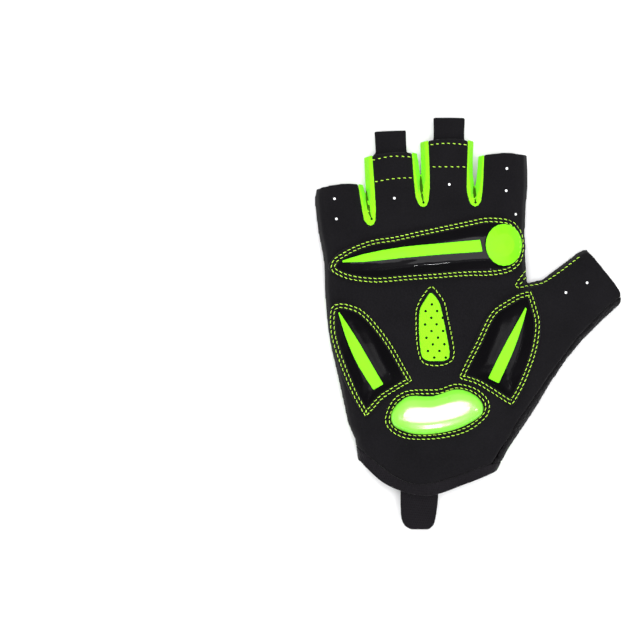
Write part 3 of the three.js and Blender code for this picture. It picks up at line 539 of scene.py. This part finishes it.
PALM = dressed("palm_panel", "palm_suede", SUEDE, 0.8 * MM, 30, relief=nap(7 * MM, 0.12 * MM))
BACK = dressed("back_panel", "back_knit", KNIT, 0.8 * MM, 30, grow=0.22 * MM)
THUMB = dressed("thumb_back", "thumb_towelling", TOWEL, 0.75 * MM, 24, grow=0.28 * MM,
                relief=nap(1.3 * MM, 0.25 * MM))


# Strips between the fingers

def crease(p):
    """A sharp fold down the middle of each strip, on its palm side."""
    if p.z < PALM_SIDE_FROM:
        return 0.0
    near = 1.0
    for line in CREASES:
        for (ax, ay), (bx, by) in zip(line, line[1:]):
            run = (bx - ax, by - ay)
            share = ((p.x - ax) * run[0] + (p.y - ay) * run[1]) / (run[0] ** 2 + run[1] ** 2)
            share = min(1.0, max(0.0, share))
            near = min(near, math.hypot(p.x - ax - share * run[0], p.y - ay - share * run[1]))
    return -0.55 * MM * math.exp(-(near / (0.7 * MM)) ** 2)


GUSSETS = [
    dressed(node, node + "_cloth", LIME_CLOTH, 0.25 * MM, 14, fade=1.2 * MM, relief=crease)
    for node in ("gusset_little_ring", "gusset_ring_middle", "gusset_middle_index")
]


# Wrist hem

HEM = dressed("wrist_hem", "wrist_hem_tape", BINDING, 0.5 * MM, 16, grow=0.24 * MM)


# Black pads with a sewn-down suede border

def black_pad(node, gel, plugs):
    pad = dressed(node, node + "_gel", gel, 0.5 * MM, 90, 75, 1.2 * MM, 0.1, plugs=plugs)
    return pad


PADS = [
    black_pad("knuckle_pad", BLACK_GEL, ("knuckle_bar", "knuckle_disc")),
    # The outer and thumb pads take the painted-shade copy of the black gel
    black_pad("outer_pad", SHADED_BLACK_GEL, ("outer_stripe",)),
    black_pad("thumb_pad", SHADED_BLACK_GEL, ("thumb_stripe",)),
]
for pad, line in zip(PADS, PAD_LINES):
    two_tone(pad, inset(evenly(line), 2.9 * MM), SUEDE)


# Heel pad

HEEL = dressed("heel_pad", "heel_pad_gel", LIME_GEL, 0.5 * MM, 70, 80, least=0.4)


# Inlays of the black pads

INLAYS = [
    dressed(node, node + "_gel", INLAY, 0.3 * MM, 10, fade=0.8 * MM, grow=0.12 * MM)
    for node in ("knuckle_bar", "knuckle_disc", "outer_stripe", "thumb_stripe")
]


# Patch in the middle of the palm

PATCH = dressed("centre_patch", "centre_patch_cloth", LIME_CLOTH, 0.45 * MM, 14)


# Tabs at two fingers and at the wrist

TABS = [
    dressed(node, node + "_suede", SUEDE, 0.42 * MM, 12, fade=1 * MM)
    for node in ("pull_tab_ring", "pull_tab_middle")
]
WRIST_TAB = dressed("wrist_tab", "wrist_tab_tape", BINDING, 0.42 * MM, 12, fade=1 * MM)


# Strap with its cover, and the bound slit

STRAP = dressed("strap", "strap_band", STRAP_BODY, 0.42 * MM, 14, fade=1 * MM, grow=0)
STRAP_COVER = dressed("strap_patch", "strap_cover", STRAP_BODY, 0.4 * MM, 14,
                      fade=1 * MM, grow=0)
SLIT = dressed("slit_binding", "slit_binding_tape", BINDING, 0.34 * MM, 10, fade=1 * MM, grow=0)


# Surfaces that small things are laid on

def surface_of(objects):
    vertices, faces = [], []
    for obj in objects:
        start = len(vertices)
        vertices += [v.co.copy() for v in obj.data.vertices]
        faces += [[start + i for i in p.vertices] for p in obj.data.polygons]
    return BVHTree.FromPolygons(vertices, faces)


TOP = surface_of([PALM, THUMB, HEM, PATCH, HEEL, *GUSSETS, *PADS, *INLAYS, *TABS, WRIST_TAB])
UNDER = surface_of([BACK, THUMB, HEM, STRAP, STRAP_COVER, SLIT, *GUSSETS])
KNIT_SIDE = surface_of([BACK])
PAD_SIDE = surface_of([PALM, *PADS])
GUSSET_SIDE = surface_of(GUSSETS)


def drop(surface, x, y, side):
    """The surface point and its normal straight below, or above for the underside."""
    hit, normal, _, _ = surface.ray_cast(Vector((x, y, 0.2 * side)), Vector((0, 0, -side)))
    if hit is None:
        return None
    return hit, normal if normal.z * side > 0 else -normal


def mesh_piece(name, vertices, faces, material, smooth=True):
    mesh = bpy.data.meshes.new(name)
    mesh.from_pydata(vertices, [], faces)
    mesh.materials.append(material)
    if smooth:
        mesh.shade_smooth()
    obj = bpy.data.objects.new(name, mesh)
    bpy.context.scene.collection.objects.link(obj)
    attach(obj, "root")
    return obj


# Stitches

STITCH_ARCH = ((0.0, -0.35), (0.12, 0.35), (0.5, 1.0), (0.88, 0.35), (1.0, -0.35))
STITCH_TAPER = (0.6, 0.95, 1.0, 0.95, 0.6)
STITCH_SIDES = 6
STITCH_STEP = 0.7 * MM    # a stitch over a step higher than this lies level


def stitch_path(surface, a, b, side, lift):
    """The middle line of one stitch, whose ends go into the cloth."""
    path = []
    for share, height in STITCH_ARCH:
        found = drop(surface, a[0] + (b[0] - a[0]) * share, a[1] + (b[1] - a[1]) * share, side)
        if found is None:
            return None
        path.append((found[0] + found[1] * lift * height, found[1]))
    heights = [point.z * side for point, _ in path]
    if max(heights) - min(heights) > STITCH_STEP:
        path = [(Vector((point.x, point.y, max(heights) * side)), normal) for point, normal in path]
    return path


def stitch(vertices, faces, path, width):
    """One stitch: a short rounded thread along its path."""
    start = len(vertices)
    run = (path[-1][0] - path[0][0]).normalized()
    for (centre, normal), taper in zip(path, STITCH_TAPER):
        aside = run.cross(normal).normalized()
        size = width * taper / 2
        for k in range(STITCH_SIDES):
            turn = k * math.pi / 3
            vertices.append(centre + (aside * math.cos(turn) + normal * math.sin(turn) * 0.8) * size)
    for ring in range(len(path) - 1):
        for k in range(STITCH_SIDES):
            p = start + ring * STITCH_SIDES + k
            q = start + ring * STITCH_SIDES + (k + 1) % STITCH_SIDES
            faces.append((p, q, q + STITCH_SIDES, p + STITCH_SIDES))
    last = start + (len(path) - 1) * STITCH_SIDES
    faces.append([start + k for k in range(STITCH_SIDES - 1, -1, -1)])
    faces.append([last + k for k in range(STITCH_SIDES)])


def stitches(name, rows, surface, side=1, length=1.6 * MM, pitch=2.32 * MM):
    """Rows of stitches, each a little askew, each row a list of points and whether it closes."""
    lean = math.tan(math.radians(9))
    vertices, faces = [], []
    for points, closed in rows:
        line = smooth_line(points, closed, 0.25 * MM)
        lengths = np.concatenate([[0], np.cumsum(np.linalg.norm(np.diff(line, axis=0), axis=1))])
        count = max(1, int(round(lengths[-1] / pitch)))
        for k in range(count):
            middle = (k + 0.5) * lengths[-1] / count
            (ax, ay), (bx, by) = [
                [np.interp(middle + s * length / 2, lengths, line[:, axis]) for axis in (0, 1)]
                for s in (-1, 1)]
            askew = ((by - ay) * lean / 2, (ax - bx) * lean / 2)
            start, end = (ax - askew[0], ay - askew[1]), (bx + askew[0], by + askew[1])
            path = stitch_path(surface, start, end, side, 0.2 * MM)
            if path:
                stitch(vertices, faces, path, 0.37 * MM)
    return mesh_piece(name, vertices, faces, THREAD)


# Two rows round each black pad and round the heel pad, and one round the patch
PAD_ROWS = [(inset(evenly(line), depth), True) for line in PAD_LINES for depth in (0.42 * MM, 2.0 * MM)]
HEEL_ROWS = [(evenly(HEEL_LINE), True), (inset(evenly(HEEL_LINE), 1.7 * MM), True)]
stitches("pad_stitches", PAD_ROWS, PAD_SIDE)
stitches("heel_stitches", HEEL_ROWS, TOP)
stitches("patch_stitches", [(PATCH_LINE, True)], TOP)

# Rows across the ring and middle fingers, below their tabs
FINGER_ROWS = [
    spots([(370.6, 160.4), (391.9, 156.3), (412, 156.9)]),
    spots([(373.6, 182), (394.9, 178.5), (413.2, 177.7)]),
    spots([(429.2, 144.8), (446.8, 143.3), (468, 144.8)]),
    spots([(431, 166.8), (467, 166.8)])]
stitches("finger_stitches", [(row, False) for row in FINGER_ROWS], TOP, length=1.3 * MM, pitch=2.65 * MM)

# The dart at the root of the thumb and the row along the thumb's upper edge
THUMB_ROW = spots([
    (526.4, 269.7), (515.6, 284.8), (519.5, 287.6), (527, 286), (540, 284), (547, 281), (561.6, 271),
    (570.7, 264), (580.5, 256.4)])
THUMB_DART = spots([(527, 276), (519.4, 285.2)])
stitches("thumb_stitches", [(THUMB_ROW, False), (THUMB_DART, False)], TOP)

# Two rows on the back of the thumb
BACK_CURVE = [(74.8, 342), (63, 352), (49, 370), (36, 388), (25, 402)]
BACK_ROW_GAP = (4, 2)
BACK_ROWS = [
    ([back_spot(px + BACK_ROW_GAP[0] * k, py + BACK_ROW_GAP[1] * k) for px, py in BACK_CURVE], False)
    for k in (0, 1)]
stitches("thumb_back_stitches", BACK_ROWS, UNDER, -1)


# Holes of the patch and vent dots

def discs(name, centres, radius, surface, material, lift, dish=0.0):
    """Small round spots that follow the surface, dished in the middle."""
    vertices, faces = [], []
    rings = ((0.6, lift - dish * 0.6), (0.92, lift), (1.0, -0.05 * MM))
    for x, y in centres:
        found = drop(surface, x, y, 1)
        if found is None:
            continue
        centre, normal = found
        aside = normal.orthogonal().normalized()
        other = normal.cross(aside)
        start = len(vertices)
        vertices.append(centre + normal * (lift - dish))
        for share, height in rings:
            for k in range(12):
                turn = k * math.pi / 6
                out = (aside * math.cos(turn) + other * math.sin(turn)) * radius * share
                vertices.append(centre + out + normal * height)
        for k in range(12):
            n = (k + 1) % 12
            faces.append((start, start + 1 + k, start + 1 + n))
            for ring in (0, 12):
                inner, outer = start + 1 + ring, start + 13 + ring
                faces.append((inner + k, outer + k, outer + n, inner + n))
    return mesh_piece(name, vertices, faces, material)


HOLE_MIDDLES = (431.8, 431.3, 431.2, 430.8, 431.5, 432.2, 432.8, 433.6, 434.2)
HOLE_START = 304.5
HOLE_PITCH = (11.5, 6.64)
HOLE_FALL = 0.1


def patch_holes():
    """Rows of holes in turn three and two wide, as far as the patch's border lets them."""
    border = inset(evenly(PATCH_LINE), 2.0 * MM)
    holes = []
    for row, middle in enumerate(HOLE_MIDDLES):
        for step in (-1, 0, 1) if row % 2 == 0 else (-0.5, 0.5):
            hole = spot(middle + HOLE_PITCH[0] * step, HOLE_START + HOLE_PITCH[1] * row - HOLE_FALL * step)
            if inside(np.array([hole]), border)[0]:
                holes.append(hole)
    return holes


VENT_SPOTS = spots([
    (334.5, 198.8), (336.4, 218.9), (394.4, 198.2), (449.3, 184.4), (506.9, 168.5), (506.2, 190.7),
    (515.9, 214.2), (587, 282.8), (565.8, 292.6)])
discs("patch_holes", patch_holes(), 0.68 * MM, TOP, DARK_HOLE, 0.06 * MM, 0.05 * MM)
discs("vent_dots", VENT_SPOTS, 0.62 * MM, TOP, VENT, 0.1 * MM)


def laid_patch(vertices, faces, surface, corners, lift, side, cuts):
    """A thin shape with four corners, bent to the surface and left out where the surface turns away."""
    a, b, c, d = (np.array(corner) for corner in corners)
    columns, rows = cuts
    numbers = {}
    for row in range(rows + 1):
        for column in range(columns + 1):
            u, v = column / columns, row / rows
            x, y = (a * (1 - u) + b * u) * (1 - v) + (d * (1 - u) + c * u) * v
            found = drop(surface, x, y, side)
            if found is None or abs(found[1].z) < 0.16:
                continue
            numbers[column, row] = len(vertices)
            vertices.append(found[0] + found[1] * lift)
    for row in range(rows):
        for column in range(columns):
            cell = [(column, row), (column + 1, row), (column + 1, row + 1), (column, row + 1)]
            if all(key in numbers for key in cell):
                faces.append([numbers[key] for key in cell])


# Printed dashes on the back, in slanting rows that grow towards the little finger's side

ROW_STARTS = [
    (118, 171), (114.5, 186), (112, 201), (114.5, 216), (116, 236), (122.5, 249), (135, 261), (149, 273),
    (164, 287), (179, 301), (194, 314), (208.6, 328), (222.7, 342), (238, 357), (256, 368.5), (265, 386)]
ROW_LENGTH = 230
ROW_ANGLE = 33.5          # degrees, with the first rows steeper
STEEPER_ROWS = 6
DASH_GAP = 2.7
DASH_LEAN = (math.sin(math.radians(14)), -math.cos(math.radians(14)))


def dash_height(run):
    return min(12.5, 1.2 + 0.095 * run)


def dash_length(run):
    return 16 if run == 0 else min(10.0, max(3.4, 10.0 - 0.12 * (run - 95)))


def dash_outline(px, py, along, run):
    """The four corners of one dash, leaning against its row."""
    outline = []
    for share, half in ((0, 1), (1, 1), (1, -1), (0, -1)):
        at = run + dash_length(run) * share
        high = dash_height(at) / 2 * half
        x = px + along[0] * at + DASH_LEAN[0] * high
        y = py + along[1] * at + DASH_LEAN[1] * high
        outline.append(back_spot(x, y))
    return outline


def back_print():
    vertices, faces = [], []
    for number, (px, py) in enumerate(ROW_STARTS):
        angle = math.radians(-ROW_ANGLE - 6 * max(0, STEEPER_ROWS - number))
        along = (math.cos(angle), math.sin(angle))
        run = 0.0
        while run < ROW_LENGTH:
            laid_patch(vertices, faces, KNIT_SIDE, dash_outline(px, py, along, run), 0.11 * MM, -1, (4, 4))
            run += dash_length(run) + DASH_GAP
    mesh_piece("back_print", vertices, faces, LIME_CLOTH)


back_print()


# Painted shade along the fold of each strip between the fingers, and the tack at its end on both sides

TACK_WIDE = 0.3 * MM
TACK_TALL = 1.3 * MM


def gusset_fold_painted_shade():
    vertices, faces = [], []
    for line in CREASES:
        # A dark strip of painted shade along each fold, widest at its middle
        path = smooth_line(line, False, 0.7 * MM)
        last = len(path) - 1
        halves = [(0.24 + 0.5 * math.sin(math.pi * index / last)) * MM for index in range(len(path))]
        for (ax, ay), (bx, by), a, b in zip(path, path[1:], halves, halves[1:]):
            corners = [(ax - a, ay), (ax + a, ay), (bx + b, by), (bx - b, by)]
            laid_patch(vertices, faces, GUSSET_SIDE, corners, 0.05 * MM, 1, (2, 1))
    mesh_piece("gusset_fold_painted_shade", vertices, faces, PAINTED_FOLD_SHADE)


def gusset_back_tacks():
    vertices, faces = [], []
    for line in CREASES:
        x, y = line[-1]
        corners = [
            (x - TACK_WIDE, y - TACK_TALL), (x + TACK_WIDE * 0.3, y - TACK_TALL),
            (x + TACK_WIDE, y + TACK_TALL), (x - TACK_WIDE * 0.3, y + TACK_TALL)]
        laid_patch(vertices, faces, GUSSET_SIDE, corners, 0.06 * MM, -1, (1, 3))
    mesh_piece("gusset_back_tacks", vertices, faces, DARK_HOLE)


gusset_fold_painted_shade()
discs("gusset_tacks", [line[-1] for line in CREASES], 0.6 * MM, GUSSET_SIDE, DARK_HOLE, 0.4 * MM)
gusset_back_tacks()


# Raised lime trim of the strap's cover

COVER_LINE = [share_spot(*p) for p in [
    (-0.219, -0.02), (-0.205, -0.045), (-0.176, -0.059), (-0.116, -0.048), (-0.079, -0.05),
    (0.01, -0.082), (0.15, -0.075), (0.235, -0.05), (0.3, -0.024), (0.34, 0.02), (0.375, 0.062),
    (0.28, 0.058), (0.15, 0.052), (0.03, 0.044), (-0.079, 0.018), (-0.116, 0.022), (-0.176, 0.041),
    (-0.205, 0.022), (-0.219, -0.004)]]
COVER_BAR = in_millimetres([(10.2, -65.6), (12.0, -65.6), (19.2, -54.2), (17.3, -54.3)])
CHEVRON = [
    ((-4, -70.6), (-4, -69.8)), ((-10, -71.1), (-9.5, -69.2)), ((-16.8, -70.9), (-14.9, -68.4)),
    ((-23, -67.8), (-20, -66.4)), ((-28.4, -64.2), (-24.6, -64.6)), ((-23, -61.6), (-20, -63.0)),
    ((-16.4, -59.4), (-14.9, -61.4)), ((-8, -58.6), (-8, -59.9)), ((0, -58.2), (0, -59.0))]


def rib(vertices, faces, points, width, height):
    """A low raised closed line on the underside."""
    line = smooth_line(points, True, 1.2 * MM)[:-1]
    count = len(line)
    rings = []
    for index in range(count):
        run = line[(index + 1) % count] - line[index - 1]
        run /= max(np.linalg.norm(run), 1e-9)
        aside = np.array([-run[1], run[0]]) * width / 2
        found = [drop(UNDER, *(line[index] + aside * k), -1) for k in (-1, 0, 1)]
        if None in found:
            continue
        (a, na), (b, nb), (c, nc) = found
        rings.append(len(vertices))
        vertices += [a - na * 0.2 * MM, a + na * height * 0.7, b + nb * height]
        vertices += [c + nc * height * 0.7, c - nc * 0.2 * MM]
    for p, q in list(zip(rings, rings[1:])) + [(rings[-1], rings[0])]:
        for k in range(4):
            faces.append((p + k, q + k, q + k + 1, p + k + 1))


def strap_trim():
    vertices, faces = [], []
    rib(vertices, faces, inset(np.array(COVER_LINE), 0.9 * MM), 1.1 * MM, 0.25 * MM)
    rib(vertices, faces, COVER_BAR, 0.7 * MM, 0.25 * MM)
    for (a, b), (c, d) in zip(CHEVRON, CHEVRON[1:]):
        laid_patch(vertices, faces, UNDER, in_millimetres((a, c, d, b)), 0.28 * MM, -1, (5, 3))
    mesh_piece("strap_trim", vertices, faces, LIME_GEL, False)


strap_trim()


# Floor

FLOOR_HALF = 6.0


def add_floor():
    corners = [(-1, -1), (1, -1), (1, 1), (-1, 1)]
    mesh = bpy.data.meshes.new("floor")
    mesh.from_pydata([(x * FLOOR_HALF, y * FLOOR_HALF, FLOOR_LEVEL) for x, y in corners], [], [(0, 1, 2, 3)])
    mesh.materials.append(FLOOR)
    obj = bpy.data.objects.new("floor", mesh)
    bpy.context.scene.collection.objects.link(obj)


# Light

def area_light(name, place, size, power):
    """A soft box that faces the glove."""
    light = bpy.data.lights.new(name, "AREA")
    light.shape = "RECTANGLE"
    light.size, light.size_y = size
    light.energy = power
    obj = bpy.data.objects.new(name, light)
    bpy.context.scene.collection.objects.link(obj)
    obj.location = place
    obj.rotation_euler = (-Vector(place)).to_track_quat("-Z", "Y").to_euler()
    return obj


def add_lights():
    area_light("softbox_top", (0.0, 0.0, 1.5), (0.78, 0.66), 21)
    for lamp in (
        area_light("glint_near", (0.15, -1.15, 1.5), (0.05, 0.05), 9),
        area_light("glint_right", (1.0, -0.35, 1.5), (0.06, 0.06), 6),
    ):
        lamp.visible_diffuse = False
    for lamp in (
        area_light("softbox_far", (-0.5, 1.5, 1.3), (1.4, 0.8), 26),
        area_light("softbox_near", (0.5, -1.5, 1.3), (1.4, 0.8), 22),
    ):
        lamp.visible_glossy = False


def add_world():
    world = bpy.data.worlds.new("studio")
    world.use_nodes = True
    background = world.node_tree.nodes["Background"]
    background.inputs["Color"].default_value = (1, 1, 1, 1)
    background.inputs["Strength"].default_value = 0.3
    bpy.context.scene.world = world
    bpy.context.scene.view_settings.view_transform = "Standard"


# Camera

PALM_HEIGHT = 16 * MM


def add_camera():
    """A long lens straight above, with the palm view in its frame."""
    data = bpy.data.cameras.new("camera")
    camera = bpy.data.objects.new("camera", data)
    bpy.context.scene.collection.objects.link(camera)
    data.sensor_width = 36
    data.sensor_fit = "HORIZONTAL"
    data.lens = 200
    data.clip_end = 20
    distance = FRAME_WIDE * SCALE * data.lens / data.sensor_width
    camera.location = (*spot(*FRAME_MIDDLE), distance + PALM_HEIGHT)
    camera.rotation_euler = (0, 0, 0)
    bpy.context.scene.camera = camera


add_floor()
add_lights()
add_world()
add_camera()
